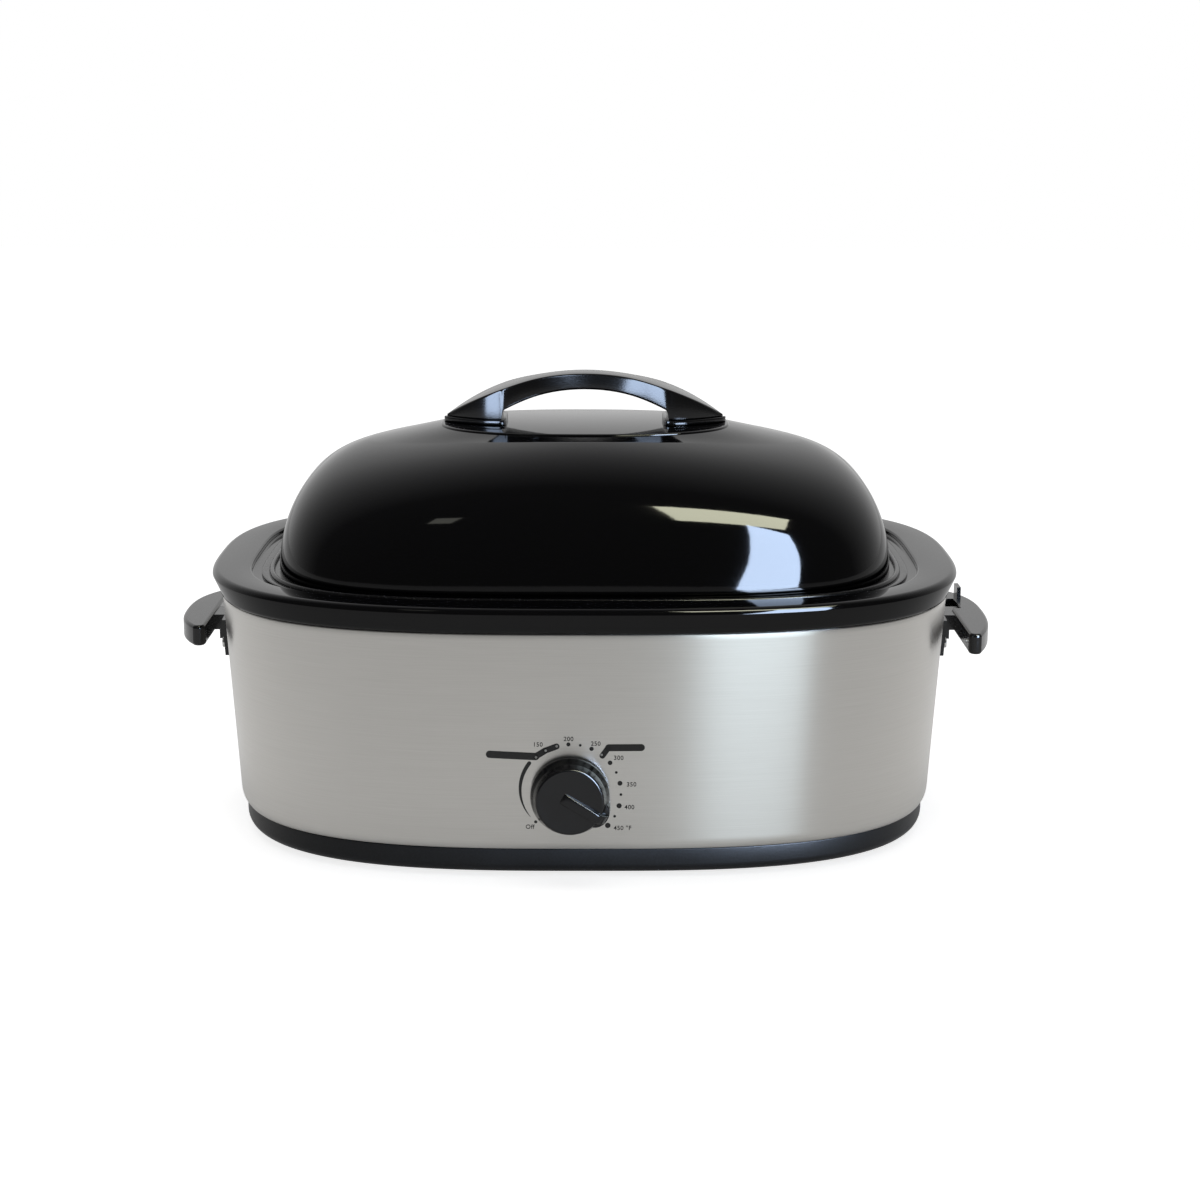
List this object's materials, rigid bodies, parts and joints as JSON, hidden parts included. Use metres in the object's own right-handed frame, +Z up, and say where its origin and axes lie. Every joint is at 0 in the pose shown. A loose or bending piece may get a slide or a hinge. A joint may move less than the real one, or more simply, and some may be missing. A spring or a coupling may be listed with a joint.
{
  "type": "electric roaster oven",
  "caption": "Oval countertop roaster oven with a stainless band, black lift-off domed lid, lift-out pan, wire rack, side grips and a turning dial knob.",
  "frame": {"origin": "on the surface the feet rest on, under the middle of the whole object's box", "axes": "+X along the long side, +Y towards the back, +Z up"},
  "size_m": [0.607, 0.4304, 0.327],
  "materials": {
    "black_enamel": "glossy porcelain enamel",
    "stainless": "brushed along the length",
    "black_satin": "satin paint",
    "phenolic": "moulded black phenolic",
    "zinc_steel": "zinc plated",
    "bright_steel": "bright",
    "aluminised": "aluminised sheet",
    "copper_alloy": "drawn",
    "glass_wool": "felted fibre",
    "element_wrap": "woven glass tape",
    "black_plastic": "moulded",
    "steatite": "unglazed",
    "rubber": "matte",
    "lead_sleeve": "braided sleeve"
  },
  "bodies": {
    "housing": {"collar": "black_enamel", "side_band": "stainless", "base_pan": "black_satin", "heating_well": "aluminised", "heater_band": "element_wrap", "element_terminals": "copper_alloy", "heater_strap": "zinc_steel", "strap_screw": "zinc_steel", "strap_nut": "zinc_steel", "insulation_blanket": "glass_wool", "heat_shield": "aluminised", "lower_posts": "zinc_steel", "upper_posts": "zinc_steel", "base_screws": "zinc_steel", "base_feet": "rubber", "left_handle": "phenolic", "right_handle": "phenolic", "handle_screws": "zinc_steel", "handle_plates": "zinc_steel", "handle_nuts": "zinc_steel", "thermostat": "zinc_steel", "thermostat_bracket": "zinc_steel", "bush_nut": "zinc_steel", "sensing_bulb": "copper_alloy", "bulb_clips": "zinc_steel", "capillary_tube": "copper_alloy", "cord_gland": "black_plastic", "terminal_block": "steatite", "terminal_screws": "copper_alloy", "power_leads": "lead_sleeve"},
    "pan": {"cookwell": "black_enamel"},
    "rack": {"roasting_rack": "bright_steel", "rack_bails": "bright_steel"},
    "lid": {"lid": "black_enamel", "lid_handle": "phenolic", "lid_screws": "zinc_steel", "lid_washers": "zinc_steel"},
    "dial": {"knob": "phenolic", "control_shaft": "zinc_steel", "knob_clip": "zinc_steel"}
  },
  "joints": [
    {"name": "pan_lift", "type": "slide", "parent": "housing", "child": "pan", "axis": [0, 0, 1], "range_m": [0, 0.18]},
    {"name": "rack_lift", "type": "slide", "parent": "pan", "child": "rack", "axis": [0, 0, 1], "range_m": [0, 0.09]},
    {"name": "lid_lift", "type": "slide", "parent": "pan", "child": "lid", "axis": [0, 0, 1], "range_m": [0, 0.15]},
    {"name": "knob_turn", "type": "hinge", "parent": "housing", "child": "dial", "pos_m": [-0.0101, -0.1922, 0.0603], "axis": [0, -1, 0], "range_deg": [-10, 249]}
  ]
}
